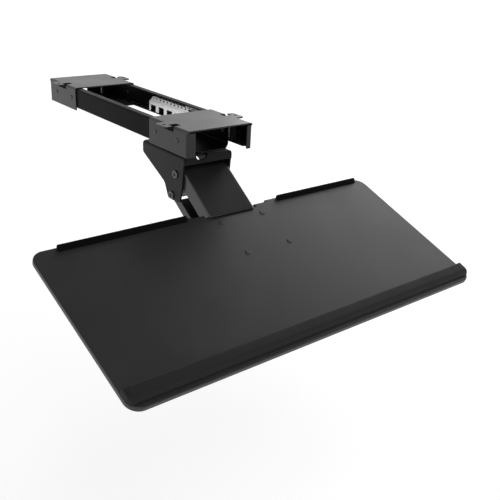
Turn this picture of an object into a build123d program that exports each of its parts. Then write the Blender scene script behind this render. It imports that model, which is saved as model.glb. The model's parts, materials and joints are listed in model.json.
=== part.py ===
from build123d import *
import os
from math import cos, radians, sin

# Keyboard tray that hangs under a desk on a sliding, swivelling, parallelogram arm.
# Millimetres, +Z up, the user sits on the -Y side, +X is the user's right.
# The origin is the centre of the front bracket's top face, which bears on the desk.
# The arm and tray are modelled at the pose of the reference: slide out, arm low, front dipped.

# Track brackets
track_length = 445.0
track_width = 117.0
bracket_length = 101.0
bracket_height = 39.0
bracket_sheet = 2.0
bracket_bend = 4.0
wide_lip = 14.0
narrow_lip = 9.5

# Desk ears on the brackets
ear_reach = 12.5
ear_length = 28.0
ear_root = 17.0
ear_corner = 4.5
ear_hole_radius = 2.75
ear_hole_reach = 6.0
ear_slot_depth = 13.0
ear_window_drop = 8.0
ear_fold_gap = 1.5

# Outer rails, balls and cages
rail_height = 33.5
rail_depth = 12.0
rail_sheet = 2.0
rail_bend = 3.0
rail_inset = 4.0
ball_radius = 2.4
ball_reach = 6.0
groove_depth = 0.6
ball_play = 0.05
cage_sheet = 0.9
cage_length = 120.0
cage_tail = 158.5
cage_wall_gap = 0.3
cage_mouth_gap = 1.0
cage_tooth_pitch = 12.0
cage_tooth_slot = 3.0
cage_tooth_depth = 3.0
cage_window_pitch = 27.5
cage_window_length = 17.0
cage_window_height = 15.0
cage_ball_play = 0.1
balls_per_row = 5
teeth_per_ball = 2

# Rivets that hold the rails in the brackets
rivet_radius = 2.0
rivet_head_radius = 3.6
rivet_head_height = 1.3
rivet_rear = 34.0
rivet_front = 24.0
rivet_play = 0.05
dome_share = 0.7

# End stops in the rails
stop_length = 5.0
stop_gap = 0.4
stop_mouth_gap = 0.4
front_stop_back = 28.5

# Inner slides and carriage
slide_length = 229.5
slide_sheet = 2.0
slide_bend = 1.6
slide_tip_gap = 0.4
slide_proud = 0.8
slide_front = 38.0
slide_flange_length = 127.5
slide_lean = 1.2
slide_crease = 8.0
slide_skirt = 3.0
slide_skirt_sheet = 1.2
slide_window_pitch = 25.5
slide_window_length = 16.5
slide_window_drop = 14.3
slide_windows = 4
slide_end_bar = 4.5
slide_corner_run = 11.0
slide_corner_drop = 9.5
slide_tooth_pitch = 10.8
slide_tooth_slot = 4.6
slide_tooth_depth = 3.6
slide_teeth = 11
carriage_length = 126.0
carriage_front = 16.5
carriage_corner = 22.0
carriage_sheet = 2.5
carriage_bend = 4.0
carriage_gap = 2.5
carriage_wall_top = 8.0
carriage_screw_radius = 2.0
carriage_screw_head = 3.8
carriage_screw_head_height = 1.8
carriage_screw_first = 32.0
carriage_screw_pitch = 38.0
carriage_screws_per_side = 3
carriage_window_length = 23.0
carriage_window_width = 44.0
carriage_window_back = 11.0
screw_play = 0.05

# Swivel
swivel_back = 86.5
swivel_bolt_radius = 5.0
swivel_bolt_head = 8.5
swivel_bolt_head_height = 5.0
swivel_disc_radius = 17.0
swivel_disc_height = 6.4
swivel_washer_radius = 11.0
swivel_washer_height = 1.6
swivel_nut_radius = 8.0
swivel_nut_height = 6.5
swivel_tail = 3.0
swivel_play = 0.1
swivel_fit = 0.06

# Swivel head
head_width = 88.4
head_length = 114.5
head_front = 29.5
head_sheet = 3.0
head_bend = 5.0
head_drop = 73.5
head_rear_height = 18.0
head_knee_back = 52.0
head_knee_drop = 50.5
head_tip_back = 41.5
head_tip_front = 11.0
head_neck_front = 4.5
head_neck_drop = 47.0
head_knee_round = 14.0
head_tip_round = 6.0
head_neck_round = 30.0
head_lip = 13.0
head_notch_radius = 11.0
head_notch_side = 12.0
head_notch_rise = 2.5

# Arm pivots and linkage
arm_pivot_back = 21.4
arm_pivot_drop = 30.8
link_pivot_back = 10.5
link_pivot_drop = 35.5
arm_length = 105.0
arm_slope = 34.8
shaft_radius = 4.0
shaft_fit = 0.06
open_pivot_play = 0.35
shaft_head_radius = 6.5
shaft_head_height = 2.4
shaft_chamfer = 0.8
side_play = 0.4
spacer_wall = 2.2

# Main arm
arm_sheet = 2.5
arm_bend = 4.0
arm_rise = 15.8
arm_fall = 7.5
arm_tail = 11.0
arm_round = 6.0
arm_web_stop = 9.5
arm_boss = 10.5
scallop_radius = 18.2
neck_drop = 1.0

# Lower link
link_half_height = 6.5
link_web_start = 9.0
link_web_stop = 26.0

# Yoke that stays level
yoke_sheet = 3.0
yoke_boss = 9.5
lock_reach = 18.0
lock_angle = 45.0

# Tilt lock
lock_bolt_radius = 3.0
lock_bolt_head = 5.6
lock_bolt_head_height = 3.4
lock_slot_play = 0.25
knob_radius = 13.0
knob_height = 11.0
knob_edge_bevel = 1.3
knob_lobes = 6
knob_flute_radius = 4.0
knob_hub_radius = 6.0
knob_hub_height = 5.5
knob_gap = 0.3

# Tray
tray_width = 590.0
tray_depth = 262.0
tray_offset = -14.0
tray_sheet = 1.5
tray_skirt = 6.0
tray_edge_round = 1.4
tray_corner = 18.0
tray_slope = 19.75
hinge_drop = 15.3
hinge_setback = 18.6
notch_width = 92.0
notch_depth = 10.0
shoulder_width = 140.0
shoulder_depth = 3.5

# Tray hinge plate
plate_width = 114.0
plate_length = 92.0
plate_sheet = 2.5
plate_start = 13.0
plate_corner = 10.0
tilt_travel = 22.0
tilt_spare = 2.5
lug_wall = 2.5
lug_boss = 8.5
lug_heel = 5.0
lug_run = 26.0
tray_screw_radius = 2.5
tray_screw_head = 4.4
tray_screw_head_height = 1.2
tray_screw_left = -30.0
tray_screw_right = 47.0
tray_screw_edge = 12.0

# Rear stops on the tray
left_stop_outer_gap = 37.0
left_stop_inner_gap = 8.0
right_stop_outer_gap = 18.0
right_stop_inner_gap = 22.0
stop_rail_height = 6.0
stop_rail_base = 8.0
stop_rail_top = 3.5
stop_rail_edge = 1.0
stop_rail_round = 1.2

# Palm rest
palm_depth = 20.0
palm_height = 8.3
palm_front_gap = 6.5
palm_edge_gap = 0.5
palm_crest = 7.0
palm_crest_drop = 0.8
palm_back_round = 1.4
palm_end_round = 3.0

overrun = 5.0

# Heights and places that follow from the sizes above
rail_outer = track_width / 2 - bracket_sheet
rail_mouth = rail_outer - rail_depth
rail_top = -bracket_sheet
rail_middle = rail_top - rail_height / 2
rail_bottom = rail_top - rail_height
rail_length = track_length - 2 * rail_inset
track_front = -bracket_length / 2
track_middle = track_front + track_length / 2
ball_side = rail_outer - ball_reach
ball_rise = rail_height / 2 - rail_sheet - ball_radius + groove_depth - ball_play
slide_half = ball_rise - ball_radius + groove_depth - ball_play
slide_inner = rail_mouth - slide_proud
cage_back = rail_outer - rail_sheet - cage_wall_gap
slide_tip = cage_back - cage_sheet - slide_tip_gap
slide_start = track_front + slide_front
carriage_top = rail_bottom - carriage_gap
carriage_bottom = carriage_top - carriage_sheet
carriage_start = track_front + carriage_front
head_top = carriage_bottom - swivel_disc_height - swivel_play
head_start = track_front + head_front
swivel_y = track_front + swivel_back
upper_pivot = Vector(0, head_start + arm_pivot_back, head_top - arm_pivot_drop)
lower_pivot = upper_pivot + Vector(0, link_pivot_back, -link_pivot_drop)
arm_reach = Vector(0, -cos(radians(arm_slope)), -sin(radians(arm_slope))) * arm_length
front_pivot = upper_pivot + arm_reach
open_pivot = lower_pivot + arm_reach
arm_width = head_width - 2 * head_sheet - 2 * side_play
arm_inner = arm_width / 2 - arm_sheet
yoke_half = arm_inner - side_play
lug_half = yoke_half - yoke_sheet - side_play
lock_pivot = front_pivot + Vector(0, -cos(radians(lock_angle)), -sin(radians(lock_angle))) * lock_reach
shaft_reach = head_width / 2
front_reach = arm_width / 2

# Planes that the pieces are drawn on
arm_axis = (0, -cos(radians(arm_slope)), -sin(radians(arm_slope)))
arm_plane = Plane(origin=upper_pivot, x_dir=arm_axis, z_dir=(-1, 0, 0))
link_plane = Plane(origin=lower_pivot, x_dir=arm_axis, z_dir=(-1, 0, 0))
front_plane = Plane(origin=front_pivot, x_dir=(0, 1, 0), z_dir=(1, 0, 0))
tray_normal = (0, -sin(radians(tray_slope)), cos(radians(tray_slope)))
tray_plane = Plane(origin=front_pivot + Vector(*tray_normal) * hinge_drop, x_dir=(1, 0, 0), z_dir=tray_normal)
lug_axis = (0, -cos(radians(tray_slope)), -sin(radians(tray_slope)))

os.makedirs("parts", exist_ok=True)


def channel_face(width, height, sheet, bend):
    """Upside-down U of bent sheet, centred on x, with its top at y = 0."""
    with BuildSketch() as face:
        with BuildSketch(mode=Mode.PRIVATE) as hollow:
            Rectangle(width - 2 * sheet, height, align=(Align.CENTER, Align.MAX))
            fillet(hollow.vertices().group_by(Axis.Y)[-1], bend - sheet)
        Rectangle(width, height, align=(Align.CENTER, Align.MAX))
        fillet(face.vertices().group_by(Axis.Y)[-1], bend)
        add(hollow.sketch.moved(Location((0, -sheet, 0))), mode=Mode.SUBTRACT)
    return face.sketch


def across(reach, centre):
    """Plane square to X at the given reach, with its origin on a pivot."""
    return Plane(origin=(reach, centre.Y, centre.Z), x_dir=(0, 1, 0), z_dir=(1, 0, 0))


def shaft(name, centre, reach, radius, head_radius, head_height):
    """Headed pin along X, riveted over at both ends against the outer cheeks."""
    with BuildPart() as pin:
        with BuildSketch(across(-reach, centre)):
            Circle(radius)
        extrude(amount=2 * reach)
        for side in (-1, 1):
            with BuildSketch(across(side * reach, centre)):
                Circle(head_radius)
            extrude(amount=side * head_height)
        ends = pin.faces().filter_by(GeomType.PLANE).sort_by(Axis.X)
        chamfer([ends[0].edges()[0], ends[-1].edges()[0]], shaft_chamfer)
    pin.part.label = name
    export_step(pin.part, f"parts/{name}.step")
    return pin


# Front bracket: a folded steel cap with two desk ears and two turned-in end lips
def lip_section(side, reach):
    """Turned-in lip at one front corner of the bracket, seen from above."""
    edge = side * track_width / 2
    with BuildSketch(Plane.XY.offset(-bracket_bend)) as lip:
        with BuildLine():
            outer_start = (edge, track_front + bracket_bend)
            outer_end = (edge - side * bracket_bend, track_front)
            inner_start = (edge - side * bracket_sheet, track_front + bracket_bend)
            inner_end = (edge - side * bracket_bend, track_front + bracket_sheet)
            tip_outer = (edge - side * reach, track_front)
            tip_inner = (edge - side * reach, track_front + bracket_sheet)
            RadiusArc(outer_start, outer_end, side * bracket_bend)
            Line(outer_end, tip_outer)
            Line(tip_outer, tip_inner)
            Line(tip_inner, inner_end)
            RadiusArc(inner_end, inner_start, -side * (bracket_bend - bracket_sheet))
            Line(inner_start, outer_start)
        make_face()
    return lip.sketch


with BuildPart() as front_bracket:
    with BuildSketch(Plane.XZ):
        add(channel_face(track_width, bracket_height, bracket_sheet, bracket_bend))
    extrude(amount=bracket_length / 2, both=True)
    for side, reach in ((-1, wide_lip), (1, narrow_lip)):
        corner_x = side * (track_width / 2 - bracket_bend / 2)
        with Locations((corner_x, track_front, -bracket_bend)):
            Box(
                bracket_bend,
                2 * bracket_bend,
                bracket_height,
                align=(Align.CENTER, Align.CENTER, Align.MAX),
                mode=Mode.SUBTRACT,
            )
        extrude(lip_section(side, reach), amount=-(bracket_height - bracket_bend))
    with PolarLocations(0, 2):
        with Locations((track_width / 2 - bracket_bend, ear_length / 2 + ear_fold_gap, 0)):
            Box(
                bracket_bend + overrun,
                ear_length + 2 * ear_fold_gap,
                ear_window_drop,
                align=(Align.MIN, Align.MAX, Align.MAX),
                mode=Mode.SUBTRACT,
            )
        with Locations((track_width / 2 - ear_slot_depth, ear_length / 2 + ear_fold_gap, 0)):
            Box(
                ear_slot_depth,
                ear_length + ear_fold_gap - ear_root,
                bracket_sheet,
                align=(Align.MIN, Align.MAX, Align.MAX),
                mode=Mode.SUBTRACT,
            )
    with BuildSketch() as ears:
        with PolarLocations(0, 2):
            with Locations((track_width / 2 + ear_reach, 0)):
                Rectangle(ear_reach - ear_fold_gap, ear_length, align=(Align.MAX, Align.CENTER))
            with Locations((track_width / 2 + ear_reach, -ear_length / 2)):
                Rectangle(ear_reach + bracket_bend, ear_root, align=(Align.MAX, Align.MIN))
        tips = ears.vertices().filter_by(lambda v: abs(v.X) > track_width / 2 + ear_reach / 2)
        fillet(tips, ear_corner)
        with PolarLocations(track_width / 2 + ear_hole_reach, 2):
            Circle(ear_hole_radius, mode=Mode.SUBTRACT)
    extrude(amount=-bracket_sheet)
    for along in (rivet_rear, -rivet_front):
        with Locations(Location((0, along, rail_middle), (0, 90, 0))):
            Cylinder(rivet_radius + rivet_play, track_width + overrun, mode=Mode.SUBTRACT)
front_bracket.part.label = "front_bracket"
export_step(front_bracket.part, "parts/front_bracket.step")

# Rear bracket: the same stamping turned half round about the middle of the track
with BuildPart() as rear_bracket:
    add(front_bracket.part.rotate(Axis((0, track_middle, 0), (0, 0, 1)), 180))
rear_bracket.part.label = "rear_bracket"
export_step(rear_bracket.part, "parts/rear_bracket.step")


def rivet_places():
    """Distances along the track at which the rails are riveted to the brackets."""
    front = (rivet_rear, -rivet_front)
    return front + tuple(2 * track_middle - along for along in front)


def race_cuts(sign):
    """Circles of the two ball races on one side, in the XZ plane."""
    with Locations((sign * ball_side, rail_middle + ball_rise), (sign * ball_side, rail_middle - ball_rise)):
        Circle(ball_radius + ball_play, mode=Mode.SUBTRACT)


# Outer rails: C sections, mouths facing each other, with a ball race rolled in each flange
def outer_rail(name, sign):
    with BuildPart() as rail:
        with BuildSketch(Plane.XZ.offset(-track_middle)) as section:
            with Locations((sign * rail_outer, rail_middle)):
                Rectangle(rail_depth, rail_height, align=(Align.MAX if sign > 0 else Align.MIN, Align.CENTER))
            backs = section.vertices().group_by(Axis.X)[-1 if sign > 0 else 0]
            fillet(backs, rail_bend)
            with Locations((sign * (rail_outer - rail_sheet), rail_middle)):
                Rectangle(
                    rail_depth,
                    rail_height - 2 * rail_sheet,
                    align=(Align.MAX if sign > 0 else Align.MIN, Align.CENTER),
                    mode=Mode.SUBTRACT,
                )
            race_cuts(sign)
        extrude(amount=rail_length / 2, both=True)
        for along in rivet_places():
            with Locations(Location((sign * rail_outer, along, rail_middle), (0, 90, 0))):
                Cylinder(rivet_radius + rivet_play, 2 * rail_depth, mode=Mode.SUBTRACT)
    rail.part.label = name
    export_step(rail.part, f"parts/{name}.step")
    return rail


left_rail = outer_rail("left_rail", -1)
right_rail = outer_rail("right_rail", 1)

# Rivets: domed outside, flush inside the rail so that the ball cage passes
with BuildPart() as rail_rivets:
    for sign in (-1, 1):
        for along in rivet_places():
            face = Plane(origin=(sign * track_width / 2, along, rail_middle), z_dir=(sign, 0, 0))
            with BuildSketch(face):
                Circle(rivet_radius)
            extrude(amount=-(bracket_sheet + rail_sheet))
            with BuildSketch(face):
                Circle(rivet_head_radius)
            extrude(amount=rivet_head_height)
    domes = rail_rivets.edges().filter_by(GeomType.CIRCLE).filter_by(
        lambda e: abs(e.radius - rivet_head_radius) < rivet_play
        and abs(e.center().X) > track_width / 2 + rivet_head_height / 2
    )
    chamfer(domes, rivet_head_height * dome_share)
rail_rivets.part.label = "rail_rivets"
export_step(rail_rivets.part, "parts/rail_rivets.step")

# Rubber stops near both ends of each rail, which end the travel of the slides
stop_depth = rail_depth - rail_sheet - stop_mouth_gap
with BuildPart() as rail_stops:
    for sign in (-1, 1):
        for end, moved in ((-1, front_stop_back), (1, 0)):
            place_y = track_middle + end * (rail_length / 2 - stop_length / 2) + moved
            place_x = sign * (rail_outer - rail_sheet - stop_depth / 2)
            with Locations((place_x, place_y, rail_middle)):
                Box(stop_depth, stop_length, rail_height - 2 * rail_sheet - 2 * stop_gap)
rail_stops.part.label = "rail_stops"
export_step(rail_stops.part, "parts/rail_stops.step")


# Ball cages: thin zinc C with windows in the web, and notched flanges that space the balls
def ball_cage(name, sign):
    cage_inner = rail_mouth + cage_mouth_gap
    cage_middle = track_front + cage_tail - cage_length / 2
    depth = cage_back - cage_inner
    outward = Align.MAX if sign > 0 else Align.MIN
    inward = Align.MIN if sign > 0 else Align.MAX
    with BuildPart() as cage:
        with BuildSketch(Plane.XZ.offset(-cage_middle)) as section:
            with Locations((sign * cage_back, rail_middle)):
                Rectangle(depth, 2 * ball_rise + cage_sheet, align=(outward, Align.CENTER))
            with Locations((sign * (cage_back - cage_sheet), rail_middle)):
                Rectangle(depth, 2 * ball_rise - cage_sheet, align=(outward, Align.CENTER), mode=Mode.SUBTRACT)
        extrude(amount=cage_length / 2, both=True)
        windows = int((cage_length - cage_window_length) / cage_window_pitch) + 1
        with Locations((sign * cage_back, cage_middle, rail_middle)):
            with GridLocations(0, cage_window_pitch, 1, windows):
                Box(rail_sheet, cage_window_length, cage_window_height, mode=Mode.SUBTRACT)
        teeth = int(cage_length / cage_tooth_pitch) - 1
        with Locations((sign * cage_inner, cage_middle, rail_middle)):
            with GridLocations(0, cage_tooth_pitch, 1, teeth):
                Box(
                    cage_tooth_depth,
                    cage_tooth_slot,
                    rail_height,
                    align=(inward, Align.CENTER, Align.CENTER),
                    mode=Mode.SUBTRACT,
                )
        with Locations((sign * ball_side, cage_middle, rail_middle)):
            with GridLocations(0, teeth_per_ball * cage_tooth_pitch, 1, balls_per_row):
                Cylinder(ball_radius + cage_ball_play, rail_height, mode=Mode.SUBTRACT)
    cage.part.label = name
    export_step(cage.part, f"parts/{name}.step")
    return cage


def ball_set(name, sign):
    cage_middle = track_front + cage_tail - cage_length / 2
    with BuildPart() as balls:
        for level in (-1, 1):
            with Locations((sign * ball_side, cage_middle, rail_middle + level * ball_rise)):
                with GridLocations(0, teeth_per_ball * cage_tooth_pitch, 1, balls_per_row):
                    Sphere(ball_radius)
    balls.part.label = name
    export_step(balls.part, f"parts/{name}.step")
    return balls


left_ball_cage = ball_cage("left_ball_cage", -1)
right_ball_cage = ball_cage("right_ball_cage", 1)
left_balls = ball_set("left_balls", -1)
right_balls = ball_set("right_balls", 1)


def carriage_screw_places():
    """Distances along the track of the screws through slides and carriage walls."""
    first = carriage_start + carriage_screw_first
    return tuple(first + step * carriage_screw_pitch for step in range(carriage_screws_per_side))


# Inner slides: zinc C sections that run between the two rows of balls
def slide_rear_cuts(sign):
    """Open windows, teeth and a slanted corner at the rear of a slide, as one tool."""
    slide_end = slide_start + slide_length
    top = rail_middle + slide_half
    with BuildPart(mode=Mode.PRIVATE) as cuts:
        for step in range(slide_windows):
            window_end = slide_end - slide_end_bar - step * slide_window_pitch
            with Locations((sign * (slide_inner + slide_sheet / 2), window_end, top - slide_window_drop)):
                Box(2 * slide_sheet, slide_window_length, rail_height, align=(Align.CENTER, Align.MAX, Align.MAX))
        for step in range(slide_teeth):
            slot_end = slide_end - slide_corner_run - step * slide_tooth_pitch
            with Locations((sign * (slide_inner + slide_sheet / 2), slot_end, top - slide_tooth_depth)):
                Box(2 * slide_sheet, slide_tooth_slot, rail_height, align=(Align.CENTER, Align.MAX, Align.MIN))
        with BuildSketch(Plane.YZ.offset(sign * slide_inner)):
            with BuildLine():
                Polyline(
                    (slide_end, top - slide_corner_drop),
                    (slide_end, top),
                    (slide_end - slide_corner_run, top),
                    close=True,
                )
            make_face()
        extrude(amount=rail_depth, both=True)
    return cuts.part


def inner_slide(name, sign):
    middle = slide_start + slide_length / 2
    rear_length = slide_length - slide_flange_length
    outward = Align.MIN if sign > 0 else Align.MAX
    with BuildPart() as slide:
        with BuildSketch(Plane.XZ.offset(-middle)) as section:
            with Locations((sign * (slide_inner + slide_tip) / 2, rail_middle)):
                Rectangle(slide_tip - slide_inner, 2 * slide_half)
            fronts = section.vertices().group_by(Axis.X)[0 if sign > 0 else -1]
            fillet(fronts, slide_bend)
            with Locations((sign * (slide_inner + slide_sheet), rail_middle)):
                Rectangle(
                    rail_depth,
                    2 * (slide_half - slide_sheet),
                    align=(Align.MIN if sign > 0 else Align.MAX, Align.CENTER),
                    mode=Mode.SUBTRACT,
                )
            with BuildLine():
                Polyline(
                    (sign * slide_inner, rail_middle + slide_half - slide_crease),
                    (sign * slide_inner, rail_middle + slide_half),
                    (sign * (slide_inner + slide_lean), rail_middle + slide_half),
                    close=True,
                )
            make_face(mode=Mode.SUBTRACT)
            race_cuts(sign)
        extrude(amount=slide_length / 2, both=True)
        with Locations((sign * (slide_inner + slide_sheet), slide_start + slide_length, rail_middle)):
            Box(rail_depth, rear_length, rail_height, align=(outward, Align.MAX, Align.MAX), mode=Mode.SUBTRACT)
        with Locations((sign * slide_inner, slide_start + slide_length, rail_middle)):
            Box(
                slide_skirt_sheet,
                rear_length,
                slide_half + slide_skirt,
                align=(outward, Align.MAX, Align.MAX),
            )
        add(slide_rear_cuts(sign), mode=Mode.SUBTRACT)
        for along in carriage_screw_places():
            with Locations(Location((sign * slide_inner, along, rail_middle), (0, 90, 0))):
                Cylinder(carriage_screw_radius + screw_play, rail_depth, mode=Mode.SUBTRACT)
    slide.part.label = name
    export_step(slide.part, f"parts/{name}.step")
    return slide


left_slide = inner_slide("left_slide", -1)
right_slide = inner_slide("right_slide", 1)

# Carriage: a folded trough with clipped front corners, whose walls are screwed to the inner slides
with BuildPart() as carriage:
    wall_height = -carriage_wall_top - carriage_bottom
    with BuildSketch(Plane(origin=(0, carriage_start, carriage_bottom), x_dir=(-1, 0, 0), z_dir=(0, 1, 0))):
        add(channel_face(2 * slide_inner, wall_height, carriage_sheet, carriage_bend).rotate(Axis.Z, 180))
    extrude(amount=carriage_length)
    with Locations((0, swivel_y, carriage_bottom)):
        Cylinder(swivel_bolt_radius + swivel_fit, wall_height, mode=Mode.SUBTRACT)
    with Locations((0, carriage_start + carriage_length - carriage_window_back, carriage_bottom)):
        Box(
            carriage_window_width,
            carriage_window_length,
            wall_height,
            align=(Align.CENTER, Align.MAX, Align.CENTER),
            mode=Mode.SUBTRACT,
        )
    with BuildSketch(Plane.XY.offset(carriage_bottom)):
        for side in (-1, 1):
            with BuildLine():
                Polyline(
                    (side * (slide_inner - carriage_corner), carriage_start),
                    (side * slide_inner, carriage_start),
                    (side * slide_inner, carriage_start + carriage_corner),
                    close=True,
                )
            make_face()
    extrude(amount=wall_height, mode=Mode.SUBTRACT)
    for along in carriage_screw_places():
        with Locations(Location((0, along, rail_middle), (0, 90, 0))):
            Cylinder(carriage_screw_radius + screw_play, track_width, mode=Mode.SUBTRACT)
carriage.part.label = "carriage"
export_step(carriage.part, "parts/carriage.step")

# Screws through the carriage walls into the slides
with BuildPart() as carriage_screws:
    for sign in (-1, 1):
        for along in carriage_screw_places():
            wall = Plane(
                origin=(sign * (slide_inner - carriage_sheet), along, rail_middle),
                z_dir=(-sign, 0, 0),
            )
            with BuildSketch(wall):
                Circle(carriage_screw_radius)
            extrude(amount=-(carriage_sheet + slide_sheet))
            with BuildSketch(wall):
                Circle(carriage_screw_head)
            extrude(amount=carriage_screw_head_height)
carriage_screws.part.label = "carriage_screws"
export_step(carriage_screws.part, "parts/carriage_screws.step")

# Swivel: a headed bolt through carriage, disc and head, with washer and nut below
with BuildPart() as swivel_bolt:
    shank = swivel_disc_height + carriage_sheet + head_sheet + 3 * swivel_play
    shank += swivel_washer_height + swivel_nut_height + swivel_tail
    with BuildSketch(Plane(origin=(0, swivel_y, carriage_top))):
        RegularPolygon(swivel_bolt_head, 6)
    extrude(amount=swivel_bolt_head_height)
    with BuildSketch(Plane(origin=(0, swivel_y, carriage_top))):
        Circle(swivel_bolt_radius)
    extrude(amount=-shank)
swivel_bolt.part.label = "swivel_bolt"
export_step(swivel_bolt.part, "parts/swivel_bolt.step")


def swivel_ring(name, top, height, outline, bore):
    """Ring or nut round the swivel bolt, with its top at the given height."""
    with BuildPart() as ring:
        with BuildSketch(Plane(origin=(0, swivel_y, top - height))):
            outline()
            Circle(bore, mode=Mode.SUBTRACT)
        extrude(amount=height)
    ring.part.label = name
    export_step(ring.part, f"parts/{name}.step")
    return ring


washer_top = head_top - head_sheet - swivel_play
nut_top = washer_top - swivel_washer_height
swivel_bore = swivel_bolt_radius + swivel_fit
swivel_disc = swivel_ring(
    "swivel_disc", carriage_bottom, swivel_disc_height, lambda: Circle(swivel_disc_radius), swivel_bore
)
swivel_washer = swivel_ring(
    "swivel_washer", washer_top, swivel_washer_height, lambda: Circle(swivel_washer_radius), swivel_bore
)
swivel_nut = swivel_ring(
    "swivel_nut", nut_top, swivel_nut_height, lambda: RegularPolygon(swivel_nut_radius, 6), swivel_bore
)

# Swivel head: an upside-down U with long cheeks, a front lip and a scooped notch
with BuildPart() as swivel_head:
    with BuildSketch(Plane.XZ.offset(-head_start)):
        with Locations((0, head_top)):
            add(channel_face(head_width, head_drop, head_sheet, head_bend))
    extrude(amount=-head_length)
    with BuildSketch(Plane.YZ):
        with BuildLine():
            FilletPolyline(
                (head_start + head_length, head_top),
                (head_start + head_length, head_top - head_rear_height),
                (head_start + head_knee_back, head_top - head_knee_drop),
                (head_start + head_tip_back, head_top - head_drop),
                (head_start + head_tip_front, head_top - head_drop),
                (head_start + head_neck_front, head_top - head_neck_drop),
                (head_start, head_top),
                radius=(head_tip_round, head_knee_round, head_tip_round, head_tip_round, head_neck_round),
            )
            Line((head_start, head_top), (head_start + head_length, head_top))
        make_face()
    extrude(amount=head_width, both=True, mode=Mode.INTERSECT)
    with Locations((0, head_start, head_top - head_bend)):
        Box(
            head_width,
            head_sheet,
            head_lip - head_bend,
            align=(Align.CENTER, Align.MIN, Align.MAX),
        )
    with Locations((0, head_start, head_top)):
        Box(
            head_width - 2 * head_bend,
            head_sheet,
            head_lip,
            align=(Align.CENTER, Align.MIN, Align.MAX),
        )
    with Locations(Location((-head_notch_side, head_start, head_top + head_notch_rise), (90, 0, 0))):
        Cylinder(head_notch_radius, 4 * head_sheet, mode=Mode.SUBTRACT)
    with Locations((0, swivel_y, head_top)):
        Cylinder(swivel_bolt_radius + swivel_fit, head_drop, mode=Mode.SUBTRACT)
    for pivot in (upper_pivot, lower_pivot):
        with Locations(Location((0, pivot.Y, pivot.Z), (0, 90, 0))):
            Cylinder(shaft_radius + shaft_fit, head_width + overrun, mode=Mode.SUBTRACT)
swivel_head.part.label = "swivel_head"
export_step(swivel_head.part, "parts/swivel_head.step")

upper_shaft = shaft(
    "upper_shaft", upper_pivot, shaft_reach, shaft_radius, shaft_head_radius, shaft_head_height
)
lower_shaft = shaft(
    "lower_shaft", lower_pivot, shaft_reach, shaft_radius, shaft_head_radius, shaft_head_height
)


def spacer(name, centre, half):
    """Tube on a shaft that keeps two cheeks apart."""
    with BuildPart() as tube:
        with BuildSketch(across(-half, centre)):
            Circle(shaft_radius + shaft_fit + spacer_wall)
            Circle(shaft_radius + shaft_fit, mode=Mode.SUBTRACT)
        extrude(amount=2 * half)
    tube.part.label = name
    export_step(tube.part, f"parts/{name}.step")
    return tube


upper_spacer = spacer("upper_spacer", upper_pivot, arm_inner - side_play)
lower_spacer = spacer("lower_spacer", lower_pivot, arm_inner - side_play)

# Main arm: a wide folded channel, scalloped round its front pivot so that the tray's notch can swing
arm_end = arm_plane.from_local_coords(Vector(-arm_tail, 0, 0))
with BuildPart() as main_arm:
    with BuildSketch(Plane(origin=arm_end, x_dir=(1, 0, 0), z_dir=arm_axis)):
        with Locations((0, arm_rise)):
            add(channel_face(arm_width, arm_rise + arm_fall, arm_sheet, arm_bend))
    extrude(amount=arm_tail + arm_length + arm_boss)
    with BuildSketch(arm_plane) as arm_profile:
        with BuildLine():
            Polyline(
                (-arm_tail, -arm_fall),
                (-arm_tail, arm_rise),
                (arm_length - arm_web_stop, arm_rise),
                (arm_length - arm_web_stop, -arm_fall),
                close=True,
            )
        make_face()
        fillet(arm_profile.vertices().group_by(Axis.X)[0], arm_round)
        with Locations((arm_length, 0)):
            Circle(scallop_radius, mode=Mode.SUBTRACT)
        with Locations((arm_length, -neck_drop)):
            Rectangle(2 * arm_boss, arm_fall - neck_drop, align=(Align.MAX, Align.MAX))
        with Locations((arm_length, 0)):
            Circle(arm_boss)
        with Locations((0, 0), (arm_length, 0)):
            Circle(shaft_radius + shaft_fit, mode=Mode.SUBTRACT)
    extrude(amount=head_width, both=True, mode=Mode.INTERSECT)
main_arm.part.label = "main_arm"
export_step(main_arm.part, "parts/main_arm.step")

# Lower link: two straps joined by a web, parallel to the main arm
with BuildPart() as lower_link:
    with BuildSketch(link_plane) as strap:
        with Locations((arm_length / 2, 0)):
            SlotCenterToCenter(arm_length, 2 * link_half_height)
        with Locations((0, 0)):
            Circle(shaft_radius + shaft_fit, mode=Mode.SUBTRACT)
        with Locations((arm_length, 0)):
            Circle(shaft_radius + open_pivot_play, mode=Mode.SUBTRACT)
    extrude(amount=arm_width / 2, both=True)
    with BuildSketch(link_plane):
        with Locations((arm_length / 2, 0)):
            Rectangle(arm_length + 4 * link_half_height, 4 * link_half_height)
    extrude(amount=arm_inner, both=True, mode=Mode.SUBTRACT)
    with BuildSketch(link_plane):
        with Locations((link_web_start, -link_half_height)):
            Rectangle(
                arm_length - link_web_start - link_web_stop,
                arm_sheet,
                align=(Align.MIN, Align.MIN),
            )
    extrude(amount=arm_width / 2 - arm_sheet / 2, both=True)
lower_link.part.label = "lower_link"
export_step(lower_link.part, "parts/lower_link.step")

# Yoke: the coupler of the parallelogram, which stays level under the tray
lock_y = lock_pivot.Y - front_pivot.Y
lock_z = lock_pivot.Z - front_pivot.Z
web_run = Vector(0, link_pivot_back - lock_y, -link_pivot_drop - lock_z)


def yoke_face():
    """Side view of a yoke cheek: the hull of its three bosses."""
    with BuildSketch() as face:
        with BuildSketch(mode=Mode.PRIVATE) as discs:
            with Locations((0, 0), (link_pivot_back, -link_pivot_drop), (lock_y, lock_z)):
                Circle(yoke_boss)
        add(make_hull(discs.edges(), mode=Mode.PRIVATE))
    return face.sketch


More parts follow.
